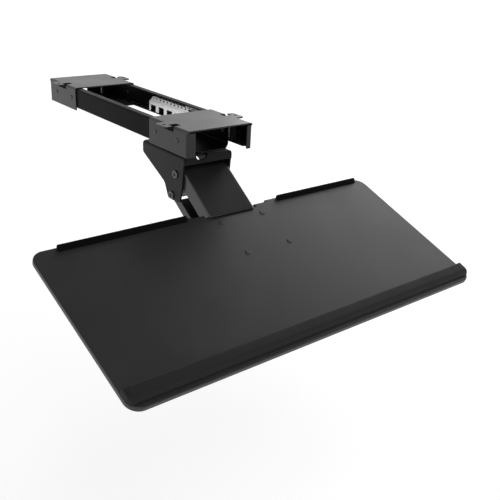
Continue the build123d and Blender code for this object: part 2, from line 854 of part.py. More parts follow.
with BuildPart() as yoke:
    with BuildSketch(front_plane):
        add(yoke_face())
    extrude(amount=yoke_half, both=True)
    with BuildSketch(front_plane):
        add(yoke_face())
    extrude(amount=yoke_half - yoke_sheet, both=True, mode=Mode.SUBTRACT)
    with BuildSketch(Plane(origin=lock_pivot, x_dir=web_run.normalized(), z_dir=(1, 0, 0))):
        with Locations((0, -yoke_boss)):
            Rectangle(web_run.length, yoke_sheet, align=(Align.MIN, Align.MIN))
    extrude(amount=yoke_half - yoke_sheet / 2, both=True)
    with BuildSketch(front_plane):
        with Locations((0, 0), (link_pivot_back, -link_pivot_drop)):
            Circle(shaft_radius + shaft_fit)
        with Locations((lock_y, lock_z)):
            Circle(lock_bolt_radius + shaft_fit)
    extrude(amount=head_width, both=True, mode=Mode.SUBTRACT)
yoke.part.label = "yoke"
export_step(yoke.part, "parts/yoke.step")

front_shaft = shaft(
    "front_shaft", front_pivot, front_reach, shaft_radius, shaft_head_radius, shaft_head_height
)
open_shaft = shaft(
    "open_shaft", open_pivot, front_reach, shaft_radius, shaft_head_radius, shaft_head_height
)
open_spacer = spacer("open_spacer", open_pivot, yoke_half - yoke_sheet - side_play)
front_spacer = spacer("front_spacer", front_pivot, lug_half - yoke_sheet - side_play)

# Tilt lock: a bolt across the yoke that slides in the lugs' curved slots
with BuildPart() as lock_bolt:
    with BuildSketch(across(-yoke_half, lock_pivot)):
        Circle(lock_bolt_radius)
    extrude(amount=2 * yoke_half + knob_gap + knob_hub_height + knob_height / 2)
    with BuildSketch(across(-yoke_half, lock_pivot)):
        RegularPolygon(lock_bolt_head, 6)
    extrude(amount=-lock_bolt_head_height)
lock_bolt.part.label = "lock_bolt"
export_step(lock_bolt.part, "parts/lock_bolt.step")

# Tilt knob: a fluted hand knob with a hub, on the right end of the lock bolt
with BuildPart() as tilt_knob:
    knob_start = yoke_half + knob_gap
    with BuildSketch(across(knob_start, lock_pivot)):
        Circle(knob_hub_radius)
    extrude(amount=knob_hub_height)
    with BuildSketch(across(knob_start + knob_hub_height, lock_pivot)):
        Circle(knob_radius)
        with PolarLocations(knob_radius + knob_flute_radius / 2, knob_lobes):
            Circle(knob_flute_radius, mode=Mode.SUBTRACT)
    extrude(amount=knob_height)
    crown = tilt_knob.faces().sort_by(Axis.X)[-1]
    chamfer(crown.edges(), knob_edge_bevel)
    with Locations(Location((knob_start, lock_pivot.Y, lock_pivot.Z), (0, 90, 0))):
        Cylinder(
            lock_bolt_radius + shaft_fit,
            knob_hub_height + knob_height / 2 + knob_gap,
            align=(Align.CENTER, Align.CENTER, Align.MIN),
            mode=Mode.SUBTRACT,
        )
tilt_knob.part.label = "tilt_knob"
export_step(tilt_knob.part, "parts/tilt_knob.step")

# Tray: a pressed steel sheet with a turned-down skirt and a stepped notch for the arm
tray_back = hinge_setback
tray_front = hinge_setback - tray_depth


def tray_outline(inset):
    """Outline of the tray from above, drawn in by the given amount."""
    with BuildSketch() as outline:
        with Locations((tray_offset, (tray_back + tray_front) / 2)):
            RectangleRounded(tray_width - 2 * inset, tray_depth - 2 * inset, tray_corner - inset)
        with Locations((0, tray_back + overrun)):
            Rectangle(
                shoulder_width + 2 * inset,
                shoulder_depth + inset + overrun,
                align=(Align.CENTER, Align.MAX),
                mode=Mode.SUBTRACT,
            )
            Rectangle(
                notch_width + 2 * inset,
                notch_depth + inset + overrun,
                align=(Align.CENTER, Align.MAX),
                mode=Mode.SUBTRACT,
            )
    return outline.sketch


plate_back = tray_back - plate_start
screw_rows = (plate_back - tray_screw_edge, plate_back - plate_length + tray_screw_edge)
screw_points = [(along, row) for along in (tray_screw_left, tray_screw_right) for row in screw_rows]

with BuildPart() as tray:
    with BuildSketch(tray_plane):
        add(tray_outline(0))
    extrude(amount=-tray_skirt)
    top_edges = tray.faces().sort_by(Axis(tray_plane.origin, tray_plane.z_dir))[-1].outer_wire().edges()
    fillet(top_edges, tray_edge_round)
    with BuildSketch(tray_plane.offset(-tray_sheet)):
        add(tray_outline(tray_sheet))
    extrude(amount=-tray_skirt, mode=Mode.SUBTRACT)
    with BuildSketch(tray_plane):
        with Locations(*screw_points):
            Circle(tray_screw_radius + screw_play)
    extrude(amount=-tray_skirt, mode=Mode.SUBTRACT)
tray.part.label = "tray"
export_step(tray.part, "parts/tray.step")


def lug_face():
    """Side view of a lug: it hangs on the front shaft and holds the lock bolt in a curved slot."""
    first_angle = tray_slope - lock_angle
    last_angle = first_angle - tilt_travel
    slot_radius = lock_bolt_radius + lock_slot_play
    lug_top = hinge_drop - tray_sheet - plate_sheet / 2
    lug_outer = lock_reach + slot_radius + lug_wall
    with BuildSketch() as lug:
        with BuildSketch(mode=Mode.PRIVATE) as discs:
            Circle(lug_boss)
            for angle in (first_angle, last_angle):
                with Locations((lock_reach * cos(radians(angle)), lock_reach * sin(radians(angle)))):
                    Circle(slot_radius + lug_wall)
        add(make_hull(discs.edges(), mode=Mode.PRIVATE))
        with BuildLine():
            Polyline(
                (lug_heel - plate_back, lug_top),
                (lug_run, lug_top),
                (lug_outer * cos(radians(first_angle)), lug_outer * sin(radians(first_angle))),
                (0, 0),
                (-lug_boss, 0),
                close=True,
            )
        make_face()
        slot_line = CenterArc(
            (0, 0), lock_reach, first_angle + tilt_spare, -(tilt_travel + 2 * tilt_spare), mode=Mode.PRIVATE
        )
        SlotArc(slot_line, 2 * slot_radius, mode=Mode.SUBTRACT)
        Circle(shaft_radius + shaft_fit, mode=Mode.SUBTRACT)
    return lug.sketch


# Hinge plate: screwed under the tray, with two slotted lugs that hang on the front shaft
with BuildPart() as hinge_plate:
    with BuildSketch(tray_plane.offset(-tray_sheet)):
        with Locations((0, plate_back - plate_length / 2)):
            RectangleRounded(plate_width, plate_length, plate_corner)
    extrude(amount=-plate_sheet)
    for side in (-1, 1):
        with BuildSketch(
            Plane(origin=front_pivot + Vector(side * lug_half, 0, 0), x_dir=lug_axis, z_dir=(-1, 0, 0))
        ):
            add(lug_face())
        extrude(amount=side * yoke_sheet)
    with BuildSketch(tray_plane.offset(-tray_sheet)):
        with Locations(*screw_points):
            Circle(tray_screw_radius + screw_play)
    extrude(amount=-plate_sheet, mode=Mode.SUBTRACT)
hinge_plate.part.label = "hinge_plate"
export_step(hinge_plate.part, "parts/hinge_plate.step")

# Screws through tray and hinge plate, with low domed heads on top
with BuildPart() as tray_screws:
    with BuildSketch(tray_plane):
        with Locations(*screw_points):
            Circle(tray_screw_head)
    extrude(amount=tray_screw_head_height)
    crowns = tray_screws.faces().group_by(Axis(tray_plane.origin, tray_plane.z_dir))[-1]
    chamfer(crowns.edges(), tray_screw_head_height * dome_share)
    with BuildSketch(tray_plane):
        with Locations(*screw_points):
            Circle(tray_screw_radius)
    extrude(amount=-(tray_sheet + plate_sheet))
tray_screws.part.label = "tray_screws"
export_step(tray_screws.part, "parts/tray_screws.step")


# Rear stops: two low wedge-shaped strips along the tray's back edge
def rear_stop(name, start, length):
    section_plane = Plane(
        origin=tray_plane.from_local_coords(Vector(start, tray_back - stop_rail_edge, 0)),
        x_dir=tray_plane.y_dir,
        z_dir=(1, 0, 0),
    )
    with BuildPart() as strip:
        with BuildSketch(section_plane) as section:
            with BuildLine():
                Polyline(
                    (0, 0),
                    (0, stop_rail_height),
                    (-stop_rail_top, stop_rail_height),
                    (-stop_rail_base, 0),
                    (0, 0),
                )
            make_face()
            fillet(section.vertices().group_by(Axis.Y)[-1], stop_rail_round)
        extrude(amount=length)
    strip.part.label = name
    export_step(strip.part, f"parts/{name}.step")
    return strip


left_stop_start = tray_offset - tray_width / 2 + left_stop_outer_gap
left_stop_end = -shoulder_width / 2 - left_stop_inner_gap
right_stop_start = shoulder_width / 2 + right_stop_inner_gap
right_stop_end = tray_offset + tray_width / 2 - right_stop_outer_gap
left_stop = rear_stop("left_stop", left_stop_start, left_stop_end - left_stop_start)
right_stop = rear_stop("right_stop", right_stop_start, right_stop_end - right_stop_start)

# Palm rest: a long soft bar with a flat crown, steep at the back and rolled down at the front
palm_plane = Plane(
    origin=tray_plane.from_local_coords(
        Vector(tray_offset - tray_width / 2, tray_front + palm_front_gap, 0)
    ),
    x_dir=tray_plane.y_dir,
    z_dir=(1, 0, 0),
)
with BuildPart() as palm_rest:
    with BuildSketch(palm_plane) as section:
        with BuildLine():
            crown = Line((palm_depth, palm_height), (palm_crest, palm_height - palm_crest_drop))
            Spline(crown @ 1, (0, 0), tangents=(crown % 1, (0, -1)))
            Line((0, 0), (palm_depth, 0))
            Line((palm_depth, 0), (palm_depth, palm_height))
        make_face()
        fillet(section.vertices().sort_by(SortBy.DISTANCE)[-1], palm_back_round)
    extrude(amount=tray_width)
    with BuildSketch(tray_plane):
        add(tray_outline(palm_edge_gap))
    extrude(amount=palm_height, mode=Mode.INTERSECT)
    fillet(palm_rest.edges().filter_by(GeomType.BSPLINE), palm_end_round)
palm_rest.part.label = "palm_rest"
export_step(palm_rest.part, "parts/palm_rest.step")
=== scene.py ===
"""Looks of the under-desk keyboard tray: camera, light, finishes, pivot pins, tie plate, palm rest."""
import json
import math

import bmesh
import bpy
from mathutils import Matrix, Vector


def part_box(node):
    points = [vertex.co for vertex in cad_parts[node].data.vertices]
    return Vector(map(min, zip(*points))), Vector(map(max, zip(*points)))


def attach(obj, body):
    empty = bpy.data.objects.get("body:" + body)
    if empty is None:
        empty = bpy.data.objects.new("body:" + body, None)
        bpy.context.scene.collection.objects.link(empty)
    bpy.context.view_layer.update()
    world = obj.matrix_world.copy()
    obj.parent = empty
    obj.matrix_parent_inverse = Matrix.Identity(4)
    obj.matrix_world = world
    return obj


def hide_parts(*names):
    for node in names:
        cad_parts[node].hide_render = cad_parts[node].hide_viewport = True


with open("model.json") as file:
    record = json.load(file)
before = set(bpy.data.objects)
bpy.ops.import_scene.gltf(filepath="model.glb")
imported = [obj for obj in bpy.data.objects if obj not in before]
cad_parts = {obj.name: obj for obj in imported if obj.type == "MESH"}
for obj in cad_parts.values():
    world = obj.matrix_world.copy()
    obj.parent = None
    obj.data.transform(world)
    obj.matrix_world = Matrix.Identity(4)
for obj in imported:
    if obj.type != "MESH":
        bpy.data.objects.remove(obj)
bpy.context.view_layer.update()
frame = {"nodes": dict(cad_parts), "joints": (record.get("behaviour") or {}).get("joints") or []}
joints = {joint["name"]: joint for joint in frame["joints"]}

# Camera, fitted to edges and corners of the photographed object
PHOTO_SIZE_PX = 500
FOCAL_LENGTH_PX = 720.54
SENSOR_WIDTH_MM = 36.0
CAMERA_PLACE = Vector((-0.61701, -0.86562, 0.25092))
CAMERA_YAW = math.radians(39.94)
CAMERA_PITCH = math.radians(23.37)
CAMERA_ROLL = math.radians(2.85)

# Stage
FLOOR_LEVEL = -0.74
FLOOR_REACH = 14.0
FLOOR_COLOUR = (0.60, 0.60, 0.60, 1.0)
FLOOR_GLOW_NEAR = 0.58
FLOOR_GLOW_FAR = 0.85
FLOOR_NEAR = 1.0
FLOOR_FAR = 4.5
WORLD_LIGHT = 0.38
CEILING_LIGHT = 0.15
CEILING_START = 0.44
CEILING_STOP = 0.74
LAMP_AIM = (0.0, -0.12, -0.12)
LAMPS = (
    ("right_back_box", (2.3, 1.2, 1.0), 2.2, 28.0),
    ("front_top_box", (-0.4, -1.9, 2.2), 1.6, 24.0),
    ("left_fill_box", (-2.4, 0.2, 0.7), 1.8, 8.0),
)

# Tray frame, from the tilt joint's axis
TRAY_SLOPE = math.radians(19.75)
HINGE_DROP = 0.0153
HINGE_SETBACK = 0.0186
TRAY_WIDTH = 0.590
TRAY_DEPTH = 0.262
TRAY_OFFSET = -0.014

# Palm rest
PALM_DEPTH = 0.0214
PALM_HEIGHT = 0.0087
PALM_CREST = 0.007
PALM_CREST_DROP = 0.0008
PALM_BACK_ROUND = 0.0014
PALM_FRONT_GAP = 0.0065
PALM_EDGE_GAP = 0.0006
PALM_CORNER = 0.0174
PALM_END_ROUND = 0.003
PALM_END_LEAST = 0.05
PALM_SPACING = 0.006
PALM_FRONT_STEPS = 12
PALM_CROWN_STEPS = 6
PALM_CORNER_STEPS = 14

# Padding of the palm rest
PALM_STEP = 0.0014
PALM_SWELL = 0.0004
PALM_FRAMES = 20
PALM_PRESSURE = 4.0
PALM_CLOTH_MASS = 0.002

# Tie plate between the rails, under the rear bracket
TIE_HALF_WIDTH = 0.0442
TIE_FRONT = 0.270
TIE_BACK = 0.3930
TIE_LEVEL = -0.0350
TIE_BEND = 0.0020
TIE_SHEET = 0.0012
TIE_TAB_TOP = -0.0040
TIE_TAB_INNER = 0.0140
TIE_TAB_OUTER = 0.0430

# Turned pivot pins, with the body that each rides on
PINS = {"upper_shaft": "head", "lower_shaft": "head", "front_shaft": "arm", "open_shaft": "yoke"}
PIN_RADIUS = 0.004
PIN_HEAD_RADIUS = 0.0061
PIN_HEAD_HEIGHT = 0.0024
PIN_HEAD_ROUND = PIN_HEAD_HEIGHT * 0.45
SOCKET_RADIUS = PIN_HEAD_RADIUS * 0.46
SOCKET_MOUTH = SOCKET_RADIUS * 1.12
SOCKET_CHAMFER = SOCKET_RADIUS * 0.10
SOCKET_DEPTH = PIN_HEAD_HEIGHT * 0.72
SOCKET_TIP_DEPTH = SOCKET_RADIUS * 0.12
SOCKET_TIP_RADIUS = SOCKET_RADIUS * 0.15

# Meshes
TURNED_SIDES = 48
ROUND_STEPS = 5
FOLD_STEPS = 4
SHARP_ANGLE = math.radians(32)
SORT_LINE = Vector((1.0, 0.31, 0.17))

# Finishes
COAT_EDGE = 0.0007
METAL_EDGE = 0.0004
MOULDED_EDGE = 0.0006
SPANGLES_PER_M = 260.0
PEBBLES_PER_M = 900.0
PEBBLE_DEPTH = 0.00008
FIBRE_DEPTH = 0.00003


def tray_frame():
    """Frame on the tray's top face: X along it, Y towards its back edge, origin over the tilt axis."""
    pivot = Vector(joints["tray_tilt"]["pos_m"])
    normal = Vector((0, -math.sin(TRAY_SLOPE), math.cos(TRAY_SLOPE)))
    return Matrix.Translation(pivot + normal * HINGE_DROP) @ Matrix.Rotation(TRAY_SLOPE, 4, "X")


# Materials

def add_node(tree, kind, inputs=None, **settings):
    """A node with its settings, whose inputs are given as values or as sockets to link from."""
    node = tree.nodes.new(kind)
    for name, value in settings.items():
        setattr(node, name, value)
    for name, value in (inputs or {}).items():
        if isinstance(value, bpy.types.NodeSocket):
            tree.links.new(value, node.inputs[name])
        else:
            node.inputs[name].default_value = value
    return node


def new_finish(name):
    """An empty Principled material: the material, its tree, its shader and its object coordinates."""
    material = bpy.data.materials.new(name + "_finish")
    material.use_nodes = True
    tree = material.node_tree
    shader = tree.nodes["Principled BSDF"]
    place = add_node(tree, "ShaderNodeTexCoord").outputs["Object"]
    return material, tree, shader, place


def noise(tree, place, size, detail=2.0, roughness=0.55):
    """Noise whose features are about the given size, in metres."""
    wanted = {"Vector": place, "Scale": 1 / size, "Detail": detail, "Roughness": roughness}
    return add_node(tree, "ShaderNodeTexNoise", wanted).outputs["Fac"]


def spread(tree, value, low, high, start=0.3, stop=0.7):
    """The value's range from start to stop, spread from low to high."""
    wanted = {"Value": value, "From Min": start, "From Max": stop, "To Min": low, "To Max": high}
    return add_node(tree, "ShaderNodeMapRange", wanted).outputs["Result"]


def blended(tree, share, first, second):
    """A colour between the first and the second."""
    mix = add_node(tree, "ShaderNodeMix", data_type="RGBA")
    sockets = {"Factor": share, "A": first, "B": second}
    kinds = {"Factor": "VALUE", "A": "RGBA", "B": "RGBA"}
    for name, value in sockets.items():
        socket = next(s for s in mix.inputs if s.name == name and s.type == kinds[name])
        if isinstance(value, bpy.types.NodeSocket):
            tree.links.new(value, socket)
        else:
            socket.default_value = value
    return next(s for s in mix.outputs if s.type == "RGBA")


def grey(level, warmth=0.0):
    """A near-neutral colour of that level, warmer or cooler by a small share."""
    return (level * (1 + warmth), level, level * (1 - warmth), 1.0)


def soft_edges(tree, radius):
    """Normal rounded over sharp edges, and how much of an edge each point is, from 0 to 1."""
    rounded = add_node(tree, "ShaderNodeBevel", {"Radius": radius}, samples=4).outputs["Normal"]
    flat = add_node(tree, "ShaderNodeNewGeometry").outputs["Normal"]
    likeness = add_node(tree, "ShaderNodeVectorMath", {0: rounded, 1: flat}, operation="DOT_PRODUCT")
    edge = spread(tree, likeness.outputs["Value"], 0.0, 1.0, start=0.995, stop=0.90)
    return rounded, edge


def bumped(tree, height, distance, strength, normal=None):
    """Normal bumped by a height, on top of the given normal or of the mesh's own."""
    wanted = {"Height": height, "Distance": distance, "Strength": strength}
    if normal is not None:
        wanted["Normal"] = normal
    return add_node(tree, "ShaderNodeBump", wanted).outputs["Normal"]


def connect(tree, shader, base, rough, normal):
    """Links a colour, a roughness and a normal into the shader."""
    tree.links.new(base, shader.inputs["Base Color"])
    tree.links.new(rough, shader.inputs["Roughness"])
    tree.links.new(normal, shader.inputs["Normal"])


def powder_coat(name, level, roughness, specular, grain, depth, edge_wear_and_highlight):
    """Powder coat on steel: orange peel, faint clouds, and edges painted lighter in random patches, partly
    as wear and partly as a painted highlight along the rounded edges.
    """
    material, tree, shader, place = new_finish(name)
    rounded, edge = soft_edges(tree, COAT_EDGE)
    clouds = noise(tree, place, size=0.060, detail=3.0)
    patches = noise(tree, place, size=0.009)
    peel = noise(tree, place, size=grain, roughness=0.6)
    speck = noise(tree, place, size=grain * 2.7, detail=3.0, roughness=0.7)
    base = blended(tree, spread(tree, clouds, 0, 1), grey(level * 0.90), grey(level * 1.10, 0.01))
    base = blended(tree, spread(tree, speck, 0, 0.5), base, grey(level * 1.35))
    share = spread(tree, patches, 0.2, 0.9)
    # Edges painted lighter in random patches: partly wear, partly a painted highlight along the rounded
    # edges.
    rubbed_and_highlit = add_node(tree, "ShaderNodeMath", {0: edge, 1: share}, operation="MULTIPLY").outputs["Value"]
    base = blended(tree, rubbed_and_highlit, base, grey(edge_wear_and_highlight))
    rough = spread(tree, clouds, roughness - 0.03, roughness + 0.03)
    connect(tree, shader, base, rough, bumped(tree, peel, depth, 0.6, rounded))
    shader.inputs["Specular IOR Level"].default_value = specular
    return material


def brushed_metal(name, level, roughness, stretch, depth, spangle=0.0):
    """Bare or oxidised steel with fine drawn scratches, zinc flowers where spangle is above 0, and edges
    painted lighter, partly as wear and partly as a painted highlight.
    """
    material, tree, shader, place = new_finish(name)
    rounded, edge = soft_edges(tree, METAL_EDGE)
    drawn = add_node(tree, "ShaderNodeMapping", {"Vector": place, "Scale": stretch}).outputs["Vector"]
    lines = noise(tree, drawn, size=0.0006, detail=3.0, roughness=0.65)
    stains = noise(tree, place, size=0.014, detail=4.0, roughness=0.6)
    wanted = {"Vector": place, "Scale": SPANGLES_PER_M}
    flowers = add_node(tree, "ShaderNodeTexVoronoi", wanted).outputs["Color"]
    tone = add_node(tree, "ShaderNodeSeparateColor", {"Color": flowers}).outputs["Red"]
    base = blended(tree, spread(tree, stains, 0, 1), grey(level * 0.82, -0.01), grey(level, 0.01))
    base = blended(tree, spread(tree, tone, 0, spangle, start=0, stop=1), base, grey(level * 0.62, -0.02))
    # Edges painted lighter: partly wear, partly a painted highlight along the rounded edges.
    base = blended(tree, spread(tree, edge, 0, 0.5, start=0, stop=1), base, grey(min(level * 1.5, 0.85)))
    rough = spread(tree, lines, roughness - 0.06, roughness + 0.08)
    connect(tree, shader, base, rough, bumped(tree, lines, depth, 0.5, rounded))
    shader.inputs["Metallic"].default_value = 1.0
    return material


def moulded(name, level, roughness, specular, grain, depth):
    """Moulded plastic or rubber with a fine spark-eroded texture, slight gloss changes, and edges painted
    lighter, partly as wear and partly as a painted highlight.
    """
    material, tree, shader, place = new_finish(name)
    rounded, edge = soft_edges(tree, MOULDED_EDGE)
    flow = noise(tree, place, size=0.025, detail=3.0)
    pores = noise(tree, place, size=grain, detail=3.0, roughness=0.7)
    base = blended(tree, spread(tree, flow, 0, 1), grey(level * 0.85), grey(level * 1.15))
    # Edges painted lighter: partly wear, partly a painted highlight along the edges.
    base = blended(tree, spread(tree, edge, 0, 0.4, start=0, stop=1), base, grey(level * 2.2))
    rough = spread(tree, flow, roughness - 0.04, roughness + 0.05)
    connect(tree, shader, base, rough, bumped(tree, pores, depth, 0.7, rounded))
    shader.inputs["Specular IOR Level"].default_value = specular
    return material


def soft_cover(name, level):
    """Thin synthetic leather over foam: pebbled grain, pores between the pebbles with painted shade in them,
    and a soft sheen.
    """
    material, tree, shader, place = new_finish(name)
    wanted = {"Vector": place, "Scale": PEBBLES_PER_M, "Randomness": 0.9}
    pebbles = add_node(tree, "ShaderNodeTexVoronoi", wanted)
    creases = add_node(tree, "ShaderNodeTexVoronoi", wanted, feature="DISTANCE_TO_EDGE")
    wear = noise(tree, place, size=0.035, detail=3.0)
    fibres = noise(tree, place, size=0.0004)
    shade = add_node(tree, "ShaderNodeSeparateColor", {"Color": pebbles.outputs["Color"]}).outputs["Green"]
    base = blended(tree, spread(tree, wear, 0, 1), grey(level * 0.85), grey(level * 1.15, 0.01))
    base = blended(tree, spread(tree, shade, 0, 0.35, start=0, stop=1), base, grey(level * 1.5))
    # Painted shade: the creases between the pebbles are darkened, as if shade falls in them.
    painted_crease_shade = spread(tree, creases.outputs["Distance"], 0.6, 0, start=0, stop=0.12)
    base = blended(tree, painted_crease_shade, base, grey(level * 0.45))
    rough = spread(tree, wear, 0.56, 0.66)
    height = spread(tree, creases.outputs["Distance"], 0, 1, start=0, stop=0.3)
    fine = bumped(tree, fibres, FIBRE_DEPTH, 0.5)
    connect(tree, shader, base, rough, bumped(tree, height, PEBBLE_DEPTH, 0.6, fine))
    shader.inputs["Specular IOR Level"].default_value = 0.24
    shader.inputs["Sheen Weight"].default_value = 0.06
    shader.inputs["Sheen Roughness"].default_value = 0.5
    return material


def make_finishes():
    """One finish for each of the record's material slots."""
    return {
        # Level, roughness, specular, grain, depth of the grain, level of the lighter edges (wear and painted
        # highlight)
        "bracket_coat": powder_coat("bracket_coat", 0.020, 0.31, 0.30, 0.0006, 0.00003, 0.14),
        "rail_coat": powder_coat("rail_coat", 0.003, 0.34, 0.03, 0.0004, 0.00001, 0.26),
        "head_coat": powder_coat("head_coat", 0.012, 0.42, 0.13, 0.0006, 0.00003, 0.09),
        "arm_coat": powder_coat("arm_coat", 0.013, 0.33, 0.52, 0.0006, 0.00003, 0.34),
        "tray_coat": powder_coat("tray_coat", 0.016, 0.40, 0.45, 0.0005, 0.00004, 0.20),
        # Level, roughness, stretch of the scratches, their depth, share of the spangles
        "dark_steel": brushed_metal("dark_steel", 0.07, 0.34, (1, 6, 6), 0.00002),
        "zinc_sheet": brushed_metal("zinc_sheet", 0.86, 0.46, (4, 1, 4), 0.00002, 0.22),
        "ball_steel": brushed_metal("ball_steel", 0.80, 0.13, (1, 1, 1), 0.000004),
        "pin_steel": brushed_metal("pin_steel", 0.11, 0.28, (1, 6, 6), 0.00002),
        # Level, roughness, specular, grain, depth of the grain
        "stop_rubber": moulded("stop_rubber", 0.018, 0.75, 0.25, 0.0005, 0.00004),
        "glide_plastic": moulded("glide_plastic", 0.028, 0.55, 0.30, 0.0005, 0.00003),
        "knob_plastic": moulded("knob_plastic", 0.018, 0.50, 0.35, 0.0007, 0.00005),
        "stop_plastic": moulded("stop_plastic", 0.003, 0.62, 0.04, 0.0006, 0.00003),
        "palm_cover": soft_cover("palm_cover", 0.007),
    }


def dress_nodes(finishes):
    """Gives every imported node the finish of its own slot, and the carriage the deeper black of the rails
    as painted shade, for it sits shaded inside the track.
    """
    for name, node in frame["nodes"].items():
        for held in node.material_slots:
            # Painted shade: the carriage is the same black steel as the head, but takes the rails' darker
            # coat because it lies in shade inside the track.
            slot = "rail_coat" if name == "carriage" else held.material.name.split(".")[0]
            held.material = finishes[slot]


# Meshes

def quarter_turn(steps):
    """Angles from 0 to a right angle, in that many steps."""
    return [math.pi / 2 * step / steps for step in range(steps + 1)]


def join_loops(bm, loops):
    """Joins each closed loop of points to the next with a ring of faces."""
    for near, far in zip(loops, loops[1:]):
        for step in range(len(near)):
            after = (step + 1) % len(near)
            bm.faces.new((near[step], near[after], far[after], far[step]))


def finished_mesh(name, bm, material, body):
    """An object of the mesh, smooth on its round faces, that rides on the body."""
    bmesh.ops.recalc_face_normals(bm, faces=bm.faces)
    mesh = bpy.data.meshes.new(name)
    bm.to_mesh(mesh)
    bm.free()
    mesh.shade_smooth()
    mesh.set_sharp_from_angle(angle=SHARP_ANGLE)
    mesh.materials.append(material)
    piece = bpy.data.objects.new(name, mesh)
    bpy.context.scene.collection.objects.link(piece)
    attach(piece, body)
    return piece


def apply_modifiers(obj):
    """Writes the object's modifiers into its mesh."""
    graph = bpy.context.evaluated_depsgraph_get()
    made = bpy.data.meshes.new_from_object(obj.evaluated_get(graph))
    obj.modifiers.clear()
    obj.data = made


# Turned pins

def hexagon(angle, radius):
    """Distance from the middle to a hexagon of that flat-to-middle radius, at an angle."""
    turn = (angle + math.pi / 6) % (math.pi / 3) - math.pi / 6
    return radius / math.cos(turn)


def turned(bm, axes, rings):
    """A body turned about an axis from rings of (height, radius, whether it is a hexagon)."""
    loops = []
    for height, radius, is_hexagon in rings:
        loop = []
        for step in range(TURNED_SIDES):
            angle = 2 * math.pi * step / TURNED_SIDES
            reach = hexagon(angle, radius) if is_hexagon else radius
            place = Vector((reach * math.cos(angle), reach * math.sin(angle), height))
            loop.append(bm.verts.new(axes @ place))
        loops.append(loop)
    join_loops(bm, loops)
    bm.faces.new(reversed(loops[0]))
    bm.faces.new(loops[-1])


def head_rings(base):
    """Rings of a low domed head, from its rim in to the floor of its hexagon socket."""
    top = base + PIN_HEAD_HEIGHT
    floor = top - SOCKET_DEPTH
    rings = [(base, PIN_HEAD_RADIUS, False), (top - PIN_HEAD_ROUND, PIN_HEAD_RADIUS, False)]
    for turn in quarter_turn(ROUND_STEPS)[1:]:
        rise = PIN_HEAD_ROUND * (1 - math.sin(turn))
        draw_in = PIN_HEAD_ROUND * (1 - math.cos(turn))
        rings.append((top - rise, PIN_HEAD_RADIUS - draw_in, False))
    rings.append((top, SOCKET_MOUTH, True))
    rings.append((top - SOCKET_CHAMFER, SOCKET_RADIUS, True))
    rings.append((floor, SOCKET_RADIUS, True))
    rings.append((floor - SOCKET_TIP_DEPTH, SOCKET_TIP_RADIUS, False))
    return rings


def along_x(centre):
    """Axes at the centre, with Z pointing along X."""
    turn = Matrix(((0, 0, 1), (0, 1, 0), (-1, 0, 0))).to_4x4()
    return Matrix.Translation(centre) @ turn


def pivot_pin(node, body, finish):
    """A pivot pin with two domed heads, each with a hexagon socket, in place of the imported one."""
    low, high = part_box(node)
    centre = (low + high) / 2
    half = (high.x - low.x) / 2 - PIN_HEAD_HEIGHT
    bm = bmesh.new()
    right = head_rings(half)
    left = [(-height, reach, kind) for height, reach, kind in right]
    shank = [(-half, PIN_RADIUS, False), (half, PIN_RADIUS, False)]
    turned(bm, along_x(centre), left[::-1] + shank + right)
    piece = finished_mesh(node + "_turned", bm, finish, body)
    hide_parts(node)


# Tie plate

def tie_plate(finishes):
    """Folded plate between the rails' lower edges, with a tab turned up on each side of its back."""
    bm = bmesh.new()
    rows = [(TIE_FRONT, TIE_LEVEL)]
    for turn in quarter_turn(FOLD_STEPS):
        rows.append((
            TIE_BACK - TIE_BEND * (1 - math.sin(turn)),
            TIE_LEVEL + TIE_BEND * (1 - math.cos(turn)),
        ))
    rows.append((TIE_BACK, TIE_TAB_TOP))
    edges = (TIE_TAB_INNER, TIE_TAB_OUTER, TIE_HALF_WIDTH)
    stations = [-x for x in reversed(edges)] + list(edges)
    tabs = (1, 3)
    grid = [[bm.verts.new((x, y, z)) for x in stations] for y, z in rows]
    for row in range(len(rows) - 1):
        for cell in range(len(stations) - 1):
            if row == 0 or cell in tabs:
                near, far = grid[row], grid[row + 1]
                bm.faces.new((near[cell], near[cell + 1], far[cell + 1], far[cell]))
    bmesh.ops.delete(bm, geom=[v for v in bm.verts if not v.link_faces], context="VERTS")
    bmesh.ops.recalc_face_normals(bm, faces=bm.faces)
    bmesh.ops.solidify(bm, geom=bm.faces[:], thickness=TIE_SHEET)
    # Solidify leaves its rim faces in another order each run, so they are sorted along an askew line
    bm.faces.sort(key=lambda face: face.calc_center_median().dot(SORT_LINE))
    finished_mesh("tie_plate", bm, finishes["bracket_coat"], "track")


# Palm rest

def palm_section():
    """Section of the rest, as (depth, height) points, from its front foot over its crown to its back."""
    crest = PALM_HEIGHT - PALM_CREST_DROP
    flat_end = PALM_DEPTH - PALM_BACK_ROUND
    points = []
    for turn in quarter_turn(PALM_FRONT_STEPS):
        points.append((PALM_CREST * (1 - math.cos(turn)), crest * math.sin(turn)))
    for step in range(1, PALM_CROWN_STEPS + 1):
        share = step / PALM_CROWN_STEPS
        points.append((PALM_CREST + (flat_end - PALM_CREST) * share, crest + PALM_CREST_DROP * share))
    for turn in quarter_turn(ROUND_STEPS)[1:]:
        points.append((
            flat_end + PALM_BACK_ROUND * math.sin(turn),
            PALM_HEIGHT - PALM_BACK_ROUND * (1 - math.cos(turn)),
        ))
    return points + [(PALM_DEPTH, PALM_HEIGHT * share) for share in (0.55, 0.28, 0.0)]


